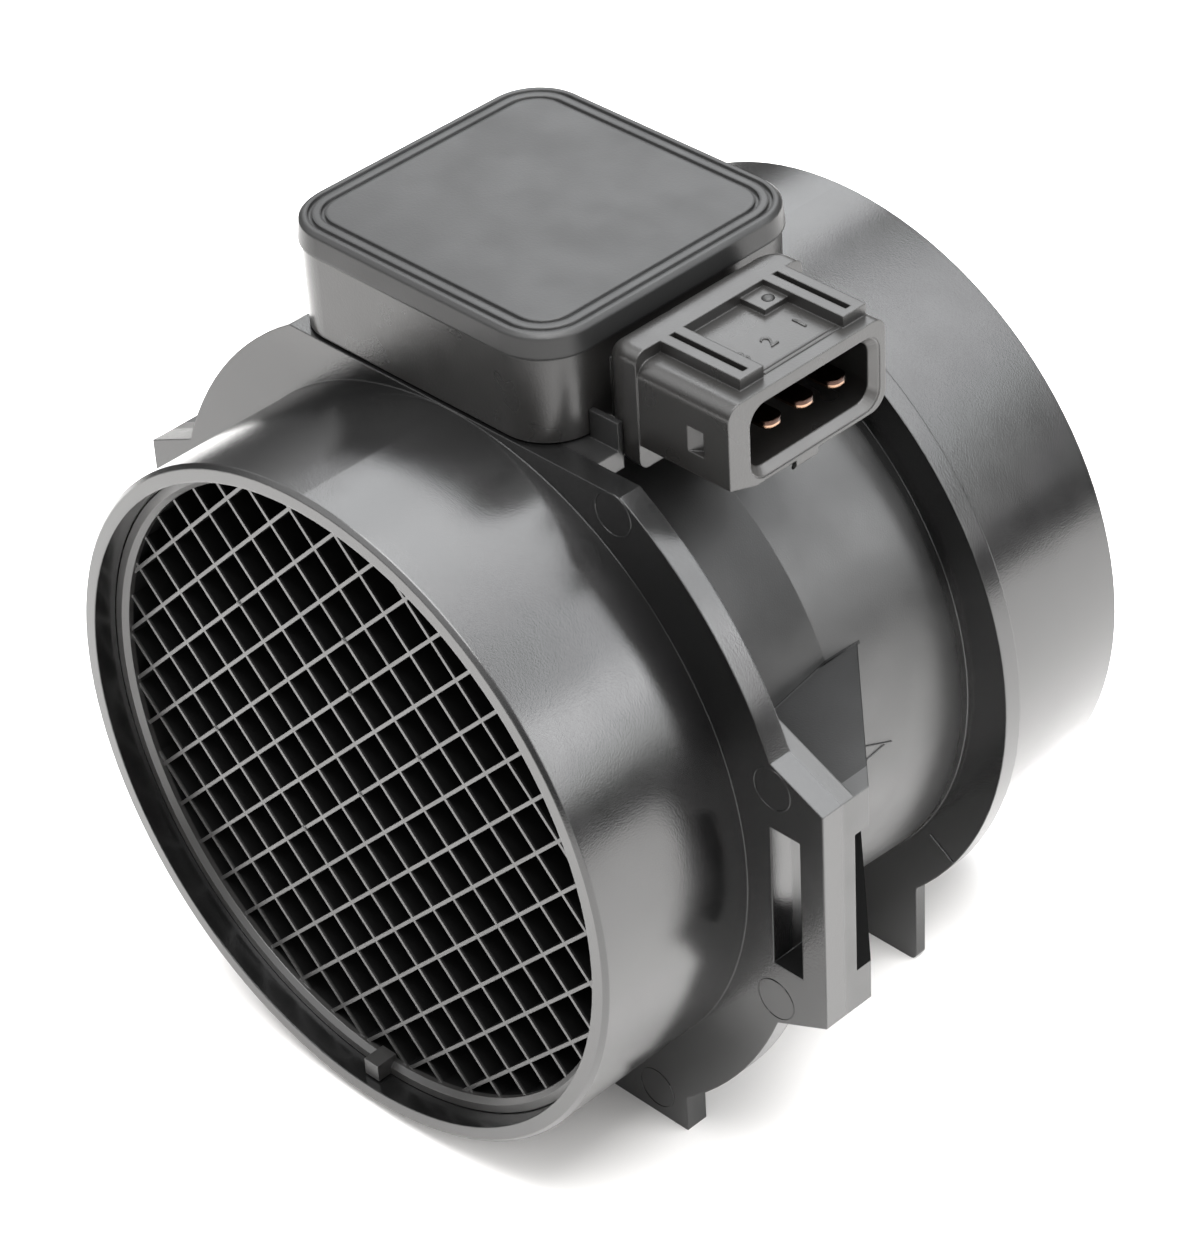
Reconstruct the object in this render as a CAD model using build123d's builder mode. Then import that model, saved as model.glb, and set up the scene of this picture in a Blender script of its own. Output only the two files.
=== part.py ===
"""Mass airflow sensor for an engine's intake duct.

A moulded duct carries a square, lidded sensor module on its top. Air enters at
the inlet rim, passes a square grid that stands at 45 degrees, speeds up in a
slight throat, where the sensing finger hangs into it, and leaves through a
second grid at the outlet spigot.

Frame: the duct's axis is Y and the air flows towards +Y. The inlet rim lies at
y = 0. +Z points up to the module's lid and +X to its connector. Millimetres.
"""

import os

from build123d import *

os.makedirs("parts", exist_ok=True)

# Duct, sizes along its axis
inlet_length = 22.1
flange_thickness = 3.1
throat_from_inlet = 42.6
lip_from_inlet = 62.4
lip_thickness = 2.5
outlet_length = 21.1

# Duct, radii and walls
inlet_radius = 43.1
cone_step = 1.4
waist_depth = 3.9
waist_end_depth = 3.1
outlet_radius = 42.8
outlet_band_length = 2.0
outlet_band_height = 0.5
duct_wall = 2.1
lip_height = 3.0
lip_foot_thickness = 1.6
lip_foot_corner = 1.0
rim_chamfer = 0.5

# Bracket flange, its feet and its ears
flange_height = 7.4
flange_top_rise = 0.1
foot_drop = 1.1
foot_half_width = 32.0
foot_block_height = 14.0
ear_height = 11.4
ear_half_height = 14.9
ear_root_half_height = 23.2
ear_root_inset = 6.6
ear_plate_thickness = 5.0
ear_depth = 7.3
ear_window_gap = 3.7
ear_window_width = 4.3
ear_window_half_height = 9.6
gusset_end = 47.6

# Grids
grid_seat_depth = 13.0
grid_recess = 3.2
grid_ring_wall = 1.6
grid_ring_chamfer = 0.6
grid_clearance = 0.1
grid_angle = 45.0
inlet_bar_spacing = 5.1
inlet_bar = 0.45
inlet_bar_recess = 1.0
inlet_bar_depth = 5.0
outlet_seat_depth = 11.0
outlet_bar_spacing = 10.2
outlet_bar = 0.9
outlet_bar_recess = 1.5
outlet_bar_depth = 4.0
gate_size = 2.3
gate_height = 2.0
gate_inset = 0.2
gate_offset = 0.6

# Module box and its lid
module_centre_x = -5.8
module_centre_y = 42.85
module_width = 42.5
module_length = 40.8
module_height = 10.55
module_wall = 2.0
module_floor = 2.0
module_corner = 6.6
gasket_thickness = 0.3
gasket_width = 1.6
gasket_inset = 0.9
lid_overhang = 0.4
lid_draft = 6.0
lid_thickness = 2.9
lid_edge_chamfer = 0.4
lid_groove_depth = 0.35
lid_groove_width = 0.5
lid_groove_insets = [1.3, 2.8]
lid_tongue_height = 1.2
lid_tongue_wall = 1.2
lid_tongue_clearance = 0.15
lid_seal_thickness = 0.25
lid_seal_inset = 0.3
lid_seal_width = 1.2

# Platform of the duct under the module
platform_margin = 0.5
platform_wall = 2.4
platform_rib = 1.6
platform_rib_spacing = 12.0
tab_width = 4.9
tab_thickness = 2.5
tab_gap = 0.1
tab_wall_thickness = 0.75
tab_wall_height = 3.5
tab_wall_gap = 0.15

# Sensing finger and its sleeve in the duct
finger_width = 9.0
finger_length = 24.0
finger_below_axis = 11.7
finger_nose = 4.0
stem_width = 11.4
stem_length = 26.4
stem_height = 8.0
stem_corner = 3.0
head_overhang = 1.8
head_thickness = 1.2
sleeve_clearance = 0.3
sleeve_wall = 2.0
seal_groove_depth = 1.0
seal_height = 2.2
seal_drop = 2.4
channel_height = 12.0
channel_depth = 5.6
cover_thickness = 1.0
cover_land = 1.2
element_width = 6.0
element_thickness = 0.6
element_reach = 5.0
element_bed = 2.0
element_from_floor = 2.4
ribbon_width = 5.0
ribbon_thickness = 0.4
ribbon_clearance = 0.3
ribbon_fold = 3.5
probe_radius = 1.1
probe_length = 6.0
probe_pocket_depth = 4.0
probe_pocket_height = 4.0
probe_z = 11.5

# Electronics in the module
tray_thickness = 1.2
tray_gap = 1.0
tray_end_gap = 2.9
board_thickness = 0.8
board_margin = 0.8
chip_size = 7.0
chip_height = 1.6
capacitor_length = 3.2
capacitor_width = 1.8
capacitor_height = 1.4
capacitor_gap = 2.5
resistor_length = 2.0
resistor_width = 1.2
resistor_height = 0.6
resistor_inset = 3.2
part_spacing = 6.0

# Connector, its heights counted from the flange's flat top
connector_y = 42.8
contact_spacing = 5.08
contact_count = 3
contact_width = 2.8
contact_thickness = 0.8
contact_tip = 1.2
contact_rise = 5.35
contact_tip_inset = 1.0
contact_tail = 4.0
bridge_width = 0.9
bridge_thickness = 0.3
bridge_foot = 1.2
bridge_land = 1.4
bridge_knee = 1.0
collar_gap = 0.55
collar_length = 6.2
collar_left = 13.6
collar_right = 12.4
collar_drop = 2.1
collar_height = 14.9
collar_corner = 1.5
collar_round = 4.5
neck_half_width = 10.8
neck_rise = 0.8
neck_height = 7.5
shroud_length = 13.2
shroud_left = 13.4
shroud_right = 11.1
shroud_drop = 0.1
shroud_height = 11.5
shroud_corner = 2.4
shroud_bevel_width = 4.0
shroud_bevel_height = 1.3
shroud_top_corner = 1.8
mouth_half_width = 10.2
mouth_rise = 0.35
mouth_height = 9.45
mouth_corner = 2.4
mouth_floor = 2.0
rail_height = 1.4
rail_inner = 6.2
rail_outer = 9.8
rail_setback = 1.6
rail_slot_width = 0.8
rail_slot_margin = 0.9
rail_slot_depth = 1.8
notch_length = 2.4
notch_height = 3.2
notch_depth = 1.7
notch_from_front = 6.1
notch_rise = 3.8
pad_left = 3.2
pad_width = 3.4
pad_length = 1.5
pad_thickness = 0.8
button_size = 3.6
button_height = 0.7

# Places that follow from the sizes above
flange_y = inlet_length
flange_back = flange_y + flange_thickness
ear_back = flange_y + ear_depth
lip_y = lip_from_inlet
lip_back = lip_y + lip_thickness
duct_length = lip_back + outlet_length
cone_radius = inlet_radius - cone_step
throat_radius = inlet_radius - waist_depth
throat_end_radius = inlet_radius - waist_end_depth
outlet_band_radius = outlet_radius + outlet_band_height
outlet_band_end = lip_back + outlet_band_length
lip_radius = outlet_radius + lip_height
flange_radius = inlet_radius + flange_height
flange_top = inlet_radius + flange_top_rise
foot_height = inlet_radius + foot_drop
ear_reach = inlet_radius + ear_height
ear_root_x = inlet_radius - ear_root_inset
ear_window_inner = inlet_radius + ear_window_gap
inlet_seat_radius = inlet_radius - duct_wall
inlet_ring_radius = inlet_seat_radius - grid_clearance
inlet_ring_bore = inlet_ring_radius - grid_ring_wall
outlet_seat_radius = outlet_radius - duct_wall
outlet_ring_radius = outlet_seat_radius - grid_clearance
outlet_ring_bore = outlet_ring_radius - grid_ring_wall
outlet_seat_y = duct_length - outlet_seat_depth
outlet_ring_end = duct_length - grid_recess

module_left = module_centre_x - module_width / 2
module_right = module_centre_x + module_width / 2
module_bottom = flange_top + gasket_thickness
floor_top = module_bottom + module_floor
module_top = module_bottom + module_height
lid_bottom = module_top + lid_seal_thickness
lid_top = lid_bottom + lid_thickness
inner_width = module_width - 2 * module_wall
inner_length = module_length - 2 * module_wall
inner_corner = module_corner - module_wall

platform_width = module_width - 2 * platform_margin
platform_front = flange_y + platform_margin
platform_length = lip_back - platform_front
core_front = flange_back + platform_wall
core_length = lip_y - platform_wall - core_front
platform_right = module_centre_x + platform_width / 2
platform_root = 20.0

finger_y = throat_from_inlet
head_bottom = floor_top - head_thickness
stem_bottom = flange_top - stem_height
sleeve_width = stem_width + 2 * sleeve_clearance
sleeve_length = stem_length + 2 * sleeve_clearance
sleeve_corner = stem_corner + sleeve_clearance
head_width = stem_width + 2 * head_overhang
head_length = stem_length + 2 * head_overhang
head_corner = stem_corner + head_overhang
seal_top = flange_top - seal_drop
seal_bottom = seal_top - seal_height
channel_top = channel_height / 2
channel_bottom = -channel_height / 2
cover_inner_x = finger_width / 2 - cover_thickness
channel_floor_x = cover_inner_x - channel_depth
element_x = channel_floor_x + element_from_floor
element_top = channel_top + element_bed

contact_back_x = module_right - module_wall - contact_tail
tray_left = module_left + module_wall + tray_gap
tray_right = contact_back_x - tray_gap
tray_width = tray_right - tray_left
tray_length = inner_length - 2 * tray_end_gap
tray_x = (tray_left + tray_right) / 2
tray_top = floor_top + tray_thickness
board_top = tray_top + board_thickness
board_width = tray_width - 2 * board_margin
board_length = tray_length - 2 * board_margin
board_left = tray_left + board_margin
board_right = tray_right - board_margin
slot_width = ribbon_thickness + 2 * ribbon_clearance
slot_length = ribbon_width + 2 * ribbon_clearance
slot_x = element_x + ribbon_thickness / 2
capacitor_x = element_x - ribbon_fold - capacitor_gap - capacitor_width / 2
resistor_x = board_left + resistor_inset
chip_x = (capacitor_x + resistor_x) / 2

collar_back_x = module_right + collar_gap
collar_front_x = collar_back_x + collar_length
shroud_front_x = collar_front_x + shroud_length
mouth_floor_x = collar_front_x + mouth_floor
collar_bottom = flange_top - collar_drop
collar_top = collar_bottom + collar_height
collar_side_y = connector_y - collar_left
collar_centre_y = connector_y + (collar_right - collar_left) / 2
neck_bottom = flange_top + neck_rise
shroud_bottom = flange_top - shroud_drop
shroud_top = shroud_bottom + shroud_height
shroud_side_y = connector_y - shroud_left
shroud_far_y = connector_y + shroud_right
mouth_bottom = flange_top + mouth_rise
contact_tip_x = shroud_front_x - contact_tip_inset
contact_bottom = flange_top + contact_rise - contact_thickness / 2
contact_top = contact_bottom + contact_thickness


def across(y):
    """Plane square to the duct, y behind the inlet rim and seen from the front."""
    return Plane(origin=(0, y, 0), x_dir=(1, 0, 0), z_dir=(0, -1, 0))


def facing_connector(x):
    """Plane square to X: its first axis is the duct's Y, its second is Z."""
    return Plane(origin=(x, 0, 0), x_dir=(0, 1, 0), z_dir=(1, 0, 0))


# The duct: one moulding with its bracket flange, platform and both spigots.
with BuildPart() as duct_body:
    # The platform's outer block, cored from the top down to the duct's wall.
    with BuildSketch(Plane.XY.offset(platform_root)):
        with Locations((module_centre_x, platform_front + platform_length / 2)):
            Rectangle(platform_width, platform_length)
    extrude(amount=flange_top - platform_root)
    with BuildSketch(Plane.XY.offset(platform_root)):
        with Locations((module_centre_x, core_front + core_length / 2)):
            Rectangle(platform_width - 2 * platform_wall, core_length)
    extrude(amount=flange_top - platform_root, mode=Mode.SUBTRACT)
    # Ribs across the core, and the sleeve that takes the finger's stem.
    with BuildSketch(Plane.XY.offset(platform_root)):
        with Locations((module_centre_x, finger_y)):
            with GridLocations(0, platform_rib_spacing, 1, 2):
                Rectangle(platform_width - platform_wall, platform_rib)
        with Locations((0, finger_y)):
            RectangleRounded(
                sleeve_width + 2 * sleeve_wall,
                sleeve_length + 2 * sleeve_wall,
                sleeve_corner + sleeve_wall,
            )
    extrude(amount=flange_top - platform_root)

    # The outside of the tube, turned about the duct's axis.
    with BuildSketch(Plane.YZ) as tube_profile:
        with BuildLine():
            Polyline(
                (0, 0),
                (0, inlet_radius),
                (flange_y, inlet_radius),
                (flange_back, cone_radius),
                (throat_from_inlet, throat_radius),
                (lip_y, throat_end_radius),
                (lip_back, outlet_band_radius),
                (outlet_band_end, outlet_band_radius),
                (outlet_band_end, outlet_radius),
                (duct_length, outlet_radius),
                (duct_length, 0),
                close=True,
            )
        make_face()
        rims = tube_profile.vertices().sort_by_distance((0, inlet_radius))[:1]
        rims += tube_profile.vertices().sort_by_distance((duct_length, outlet_radius))[:1]
        chamfer(rims, length=rim_chamfer)
    revolve(axis=Axis.Y)

    # The bracket flange, cut flat on top and at the feet.
    with BuildSketch(across(flange_y)):
        Circle(flange_radius)
        with Locations((0, -foot_height + foot_block_height / 2)):
            Rectangle(2 * foot_half_width, foot_block_height)
        with Locations((0, (flange_top - foot_height) / 2)):
            Rectangle(3 * flange_radius, flange_top + foot_height, mode=Mode.INTERSECT)
    extrude(amount=-flange_thickness)

    # The lip behind the throat, and its thinner feet in line with the flange's.
    with BuildSketch(across(lip_y)):
        Circle(lip_radius)
        with Locations((0, (flange_top - foot_height) / 2)):
            Rectangle(3 * lip_radius, flange_top + foot_height, mode=Mode.INTERSECT)
    extrude(amount=-lip_thickness)
    with BuildSketch(across(lip_y)) as lip_foot:
        with Locations((0, -foot_height + foot_block_height / 2)):
            Rectangle(2 * foot_half_width, foot_block_height)
        fillet(lip_foot.vertices().group_by(Axis.Y)[0], radius=lip_foot_corner)
    extrude(amount=-lip_foot_thickness)

    # One ear: a thick plate with a window, and two legs that run into gussets.
    with BuildSketch(across(flange_y)):
        with BuildLine():
            Polyline(
                (ear_root_x, ear_root_half_height),
                (ear_reach, ear_half_height),
                (ear_reach, -ear_half_height),
                (ear_root_x, -ear_root_half_height),
                close=True,
            )
        make_face()
    extrude(amount=-ear_plate_thickness)
    for leg_bottom in (ear_window_half_height, -ear_half_height):
        with BuildSketch(Plane.XY.offset(leg_bottom)):
            with BuildLine():
                Polyline(
                    (ear_root_x, flange_back),
                    (ear_reach, flange_back),
                    (ear_reach, ear_back),
                    (ear_root_x, gusset_end),
                    close=True,
                )
            make_face()
        extrude(amount=ear_half_height - ear_window_half_height)
    with BuildSketch(across(flange_y)):
        with Locations((ear_window_inner + ear_window_width / 2, 0)):
            Rectangle(ear_window_width, 2 * ear_window_half_height)
    extrude(amount=-ear_depth, mode=Mode.SUBTRACT)
    # The other ear is the mirror image.
    split(bisect_by=Plane.YZ)
    mirror(about=Plane.YZ)

    # The tab at the platform's corner, level with the flange's flat top, and the
    # thin wall that stands on it in front of the connector's collar.
    tab_end_y = collar_side_y - tab_gap
    with BuildSketch(Plane.XY.offset(flange_top)):
        with Locations((platform_right, tab_end_y)):
            Rectangle(tab_width, tab_end_y - flange_y, align=(Align.MIN, Align.MAX))
    extrude(amount=-tab_thickness)
    tab_wall_x = module_right + tab_wall_gap
    with BuildSketch(Plane.XY.offset(flange_top)):
        with Locations((tab_wall_x, tab_end_y)):
            Rectangle(
                platform_right + tab_width - tab_wall_x,
                tab_wall_thickness,
                align=(Align.MIN, Align.MAX),
            )
    extrude(amount=tab_wall_height)

    # The bore: a seat for each grid and a waist where the finger hangs.
    with BuildSketch(Plane.YZ):
        with BuildLine():
            Polyline(
                (0, 0),
                (0, inlet_seat_radius),
                (grid_seat_depth, inlet_seat_radius),
                (grid_seat_depth, inlet_ring_bore),
                (throat_from_inlet, throat_radius - duct_wall),
                (lip_y, throat_end_radius - duct_wall),
                (outlet_seat_y, outlet_ring_bore),
                (outlet_seat_y, outlet_seat_radius),
                (duct_length, outlet_seat_radius),
                (duct_length, 0),
                close=True,
            )
        make_face()
    revolve(axis=Axis.Y, mode=Mode.SUBTRACT)
    # The opening for the finger, from the platform's top into the bore.
    with BuildSketch(Plane.XY.offset(flange_top)):
        with Locations((0, finger_y)):
            RectangleRounded(sleeve_width, sleeve_length, sleeve_corner)
    extrude(amount=platform_root - flange_top, mode=Mode.SUBTRACT)
duct_body.part.label = "duct_body"
export_step(duct_body.part, "parts/duct_body.step")

# The inlet grid: a ring that seats in the rim, filled with bars at 45 degrees.
with BuildPart() as inlet_grid:
    with BuildSketch(across(grid_recess)):
        Circle(inlet_ring_radius)
        Circle(inlet_ring_bore, mode=Mode.SUBTRACT)
    extrude(amount=grid_recess - grid_seat_depth)
    front_edge = inlet_grid.edges().filter_by(GeomType.CIRCLE).sort_by(SortBy.RADIUS)[:2]
    chamfer(front_edge.sort_by(Axis.Y)[:1], length=grid_ring_chamfer)
    inlet_bar_count = 2 * int(inlet_ring_bore / inlet_bar_spacing) + 1
    with BuildSketch(across(grid_recess + inlet_bar_recess)):
        with Locations(Rotation(0, 0, grid_angle)):
            with GridLocations(inlet_bar_spacing, 0, inlet_bar_count, 1):
                Rectangle(inlet_bar, 2 * inlet_ring_radius)
            with GridLocations(0, inlet_bar_spacing, 1, inlet_bar_count):
                Rectangle(2 * inlet_ring_radius, inlet_bar)
        Circle(inlet_ring_radius - grid_ring_wall / 2, mode=Mode.INTERSECT)
    extrude(amount=-inlet_bar_depth)
    # The square stub where the moulding was fed stands at the bottom of the ring.
    with BuildSketch(across(grid_recess - gate_height)):
        with Locations((gate_offset, gate_inset - inlet_ring_radius)):
            Rectangle(gate_size, gate_size, align=(Align.CENTER, Align.MIN))
    extrude(amount=-(gate_height + inlet_bar_recess))
inlet_grid.part.label = "inlet_grid"
export_step(inlet_grid.part, "parts/inlet_grid.step")

# The outlet grid is coarser and only steadies the flow behind the finger.
with BuildPart() as outlet_grid:
    with BuildSketch(across(outlet_seat_y)):
        Circle(outlet_ring_radius)
        Circle(outlet_ring_bore, mode=Mode.SUBTRACT)
    extrude(amount=outlet_seat_y - outlet_ring_end)
    outlet_bar_count = 2 * int(outlet_ring_bore / outlet_bar_spacing) + 1
    with BuildSketch(across(outlet_seat_y + outlet_bar_recess)):
        with Locations(Rotation(0, 0, grid_angle)):
            with GridLocations(outlet_bar_spacing, 0, outlet_bar_count, 1):
                Rectangle(outlet_bar, 2 * outlet_ring_radius)
            with GridLocations(0, outlet_bar_spacing, 1, outlet_bar_count):
                Rectangle(2 * outlet_ring_radius, outlet_bar)
        Circle(outlet_ring_radius - grid_ring_wall / 2, mode=Mode.INTERSECT)
    extrude(amount=-outlet_bar_depth)
outlet_grid.part.label = "outlet_grid"
export_step(outlet_grid.part, "parts/outlet_grid.step")

# The module's housing: box, collar and connector shroud in one moulding.
with BuildPart() as module_housing:
    # The collar comes first, while its back top edge is easy to round.
    with BuildSketch(facing_connector(collar_back_x)):
        with Locations((collar_centre_y, (collar_bottom + collar_top) / 2)):
            RectangleRounded(collar_left + collar_right, collar_height, collar_corner)
    extrude(amount=collar_length)
    back_edges = module_housing.edges().filter_by(Axis.Y).group_by(Axis.X)[0]
    fillet(back_edges.sort_by(Axis.Z)[-1:], radius=collar_round)
    with BuildSketch(facing_connector(module_right - module_wall)):
        with Locations((connector_y, neck_bottom)):
            Rectangle(2 * neck_half_width, neck_height, align=(Align.CENTER, Align.MIN))
    extrude(amount=module_wall + collar_gap + collar_corner)

    # The shroud, bevelled below on its left, with two slotted rails on top.
    with BuildSketch(facing_connector(collar_front_x)) as shroud_outline:
        with BuildLine():
            Polyline(
                (shroud_side_y, shroud_top),
                (shroud_side_y, shroud_bottom + shroud_bevel_height),
                (shroud_side_y + shroud_bevel_width, shroud_bottom),
                (shroud_far_y, shroud_bottom),
                (shroud_far_y, shroud_top),
                close=True,
            )
        make_face()
        fillet(shroud_outline.vertices().group_by(Axis.Y)[-1], radius=shroud_top_corner)
        shroud_foot = shroud_outline.vertices().group_by(Axis.Y)[0].sort_by(Axis.X)[-1:]
        fillet(shroud_foot, radius=shroud_corner)
    extrude(amount=shroud_length)
    rail_length = shroud_length - rail_setback
    rail_offset = (rail_inner + rail_outer) / 2
    with BuildSketch(Plane.XY.offset(shroud_top - shroud_top_corner)):
        with Locations((collar_front_x + rail_length / 2, connector_y)):
            with GridLocations(0, 2 * rail_offset, 1, 2):
                Rectangle(rail_length, rail_outer - rail_inner)
    extrude(amount=rail_height + shroud_top_corner)
    with BuildSketch(Plane.XY.offset(shroud_top + rail_height)):
        with Locations((collar_front_x, connector_y)):
            with GridLocations(0, 2 * rail_offset, 1, 2):
                Rectangle(
                    rail_length - rail_slot_margin,
                    rail_slot_width,
                    align=(Align.MIN, Align.CENTER),
                )
    extrude(amount=-rail_slot_depth, mode=Mode.SUBTRACT)
    button_y = connector_y + rail_inner - button_size / 2
    with BuildSketch(Plane.XY.offset(shroud_top)):
        with Locations((collar_front_x + button_size / 2, button_y)):
            Rectangle(button_size, button_size)
    extrude(amount=button_height)
    # The wedge-shaped notch in its left side deepens towards the mouth.
    notch_back_x = shroud_front_x - notch_from_front
    with BuildSketch(Plane.XY.offset(flange_top + notch_rise)):
        with BuildLine():
            Polyline(
                (notch_back_x, shroud_side_y),
                (notch_back_x + notch_length, shroud_side_y),
                (notch_back_x + notch_length, shroud_side_y + notch_depth),
                close=True,
            )
        make_face()
    extrude(amount=notch_height, mode=Mode.SUBTRACT)
    # A small pad under the mouth's edge.
    with BuildSketch(Plane.XY.offset(mouth_bottom)):
        with Locations((shroud_front_x, connector_y - pad_left)):
            Rectangle(pad_length, pad_width, align=(Align.MAX, Align.MIN))
    extrude(amount=-(pad_thickness + mouth_rise + shroud_drop))
    with BuildSketch(facing_connector(mouth_floor_x)):
        with Locations((connector_y, mouth_bottom + mouth_height / 2)):
            RectangleRounded(2 * mouth_half_width, mouth_height, mouth_corner)
    extrude(amount=shroud_length, mode=Mode.SUBTRACT)

    # The box: an open tray with a stepped opening for the finger's head.
    with BuildSketch(Plane.XY.offset(module_bottom)):
        with Locations((module_centre_x, module_centre_y)):
            RectangleRounded(module_width, module_length, module_corner)
    extrude(amount=module_height)
    with BuildSketch(Plane.XY.offset(floor_top)):
        with Locations((module_centre_x, module_centre_y)):
            RectangleRounded(inner_width, inner_length, inner_corner)
    extrude(amount=module_height, mode=Mode.SUBTRACT)
    with BuildSketch(Plane.XY.offset(head_bottom)):
        with Locations((0, finger_y)):
            RectangleRounded(head_width, head_length, head_corner)
    extrude(amount=head_thickness, mode=Mode.SUBTRACT)
    with BuildSketch(Plane.XY.offset(module_bottom)):
        with Locations((0, finger_y)):
            RectangleRounded(stem_width, stem_length, stem_corner)
    extrude(amount=module_floor, mode=Mode.SUBTRACT)
    # The ledge that carries the contacts' tails, and their close-fitting slots.
    ledge_width = contact_count * contact_spacing
    with BuildSketch(Plane.XY.offset(floor_top)):
        with Locations((module_right - module_wall, connector_y)):
            Rectangle(contact_tail, ledge_width, align=(Align.MAX, Align.CENTER))
    extrude(amount=contact_bottom - floor_top)
    with BuildSketch(Plane.XY.offset(contact_bottom)):
        with Locations((contact_back_x, connector_y)):
            with GridLocations(0, contact_spacing, 1, contact_count):
                Rectangle(
                    contact_tip_x - contact_back_x,
                    contact_width,
                    align=(Align.MIN, Align.CENTER),
                )
    extrude(amount=contact_thickness, mode=Mode.SUBTRACT)
module_housing.part.label = "module_housing"
export_step(module_housing.part, "parts/module_housing.step")

# The seal that the housing stands on, over the platform's walls.
with BuildPart() as module_gasket:
    with BuildSketch(Plane.XY.offset(flange_top)):
        with Locations((module_centre_x, module_centre_y)):
            RectangleRounded(
                module_width - 2 * gasket_inset,
                module_length - 2 * gasket_inset,
                module_corner - gasket_inset,
            )
            RectangleRounded(
                module_width - 2 * (gasket_inset + gasket_width),
                module_length - 2 * (gasket_inset + gasket_width),
                module_corner - gasket_inset - gasket_width,
                mode=Mode.SUBTRACT,
            )
    extrude(amount=gasket_thickness)
module_gasket.part.label = "module_gasket"
export_step(module_gasket.part, "parts/module_gasket.step")

# The lid: a drafted plate with a bevelled rim, two fine grooves and a tongue below.
with BuildPart() as lid:
    with BuildSketch(Plane.XY.offset(lid_bottom)):
        with Locations((module_centre_x, module_centre_y)):
            RectangleRounded(
                module_width + 2 * lid_overhang,
                module_length + 2 * lid_overhang,
                module_corner + lid_overhang,
            )
    extrude(amount=lid_thickness, taper=lid_draft)
    chamfer(lid.faces().sort_by(Axis.Z)[-1].edges(), length=lid_edge_chamfer)
    with BuildSketch(Plane.XY.offset(lid_top)):
        with Locations((module_centre_x, module_centre_y)):
            for groove_inset in lid_groove_insets:
                groove_corner = module_corner + lid_overhang - groove_inset
                RectangleRounded(
                    module_width + 2 * (lid_overhang - groove_inset),
                    module_length + 2 * (lid_overhang - groove_inset),
                    groove_corner,
                )
                RectangleRounded(
                    module_width + 2 * (lid_overhang - groove_inset - lid_groove_width),
                    module_length + 2 * (lid_overhang - groove_inset - lid_groove_width),
                    groove_corner - lid_groove_width,
                    mode=Mode.SUBTRACT,
                )
    extrude(amount=-lid_groove_depth, mode=Mode.SUBTRACT)
    with BuildSketch(Plane.XY.offset(lid_bottom)):
        with Locations((module_centre_x, module_centre_y)):
            RectangleRounded(
                inner_width - 2 * lid_tongue_clearance,
                inner_length - 2 * lid_tongue_clearance,
                inner_corner - lid_tongue_clearance,
            )
            RectangleRounded(
                inner_width - 2 * (lid_tongue_clearance + lid_tongue_wall),
                inner_length - 2 * (lid_tongue_clearance + lid_tongue_wall),
                inner_corner - lid_tongue_clearance - lid_tongue_wall,
                mode=Mode.SUBTRACT,
            )
    extrude(amount=-(lid_seal_thickness + lid_tongue_height))
lid.part.label = "lid"
export_step(lid.part, "parts/lid.step")

# The seal between the housing's rim and the lid.
with BuildPart() as lid_seal:
    with BuildSketch(Plane.XY.offset(module_top)):
        with Locations((module_centre_x, module_centre_y)):
            RectangleRounded(
                module_width - 2 * lid_seal_inset,
                module_length - 2 * lid_seal_inset,
                module_corner - lid_seal_inset,
            )
            RectangleRounded(
                module_width - 2 * (lid_seal_inset + lid_seal_width),
                module_length - 2 * (lid_seal_inset + lid_seal_width),
                module_corner - lid_seal_inset - lid_seal_width,
                mode=Mode.SUBTRACT,
            )
    extrude(amount=lid_seal_thickness)
lid_seal.part.label = "lid_seal"
export_step(lid_seal.part, "parts/lid_seal.step")

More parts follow.
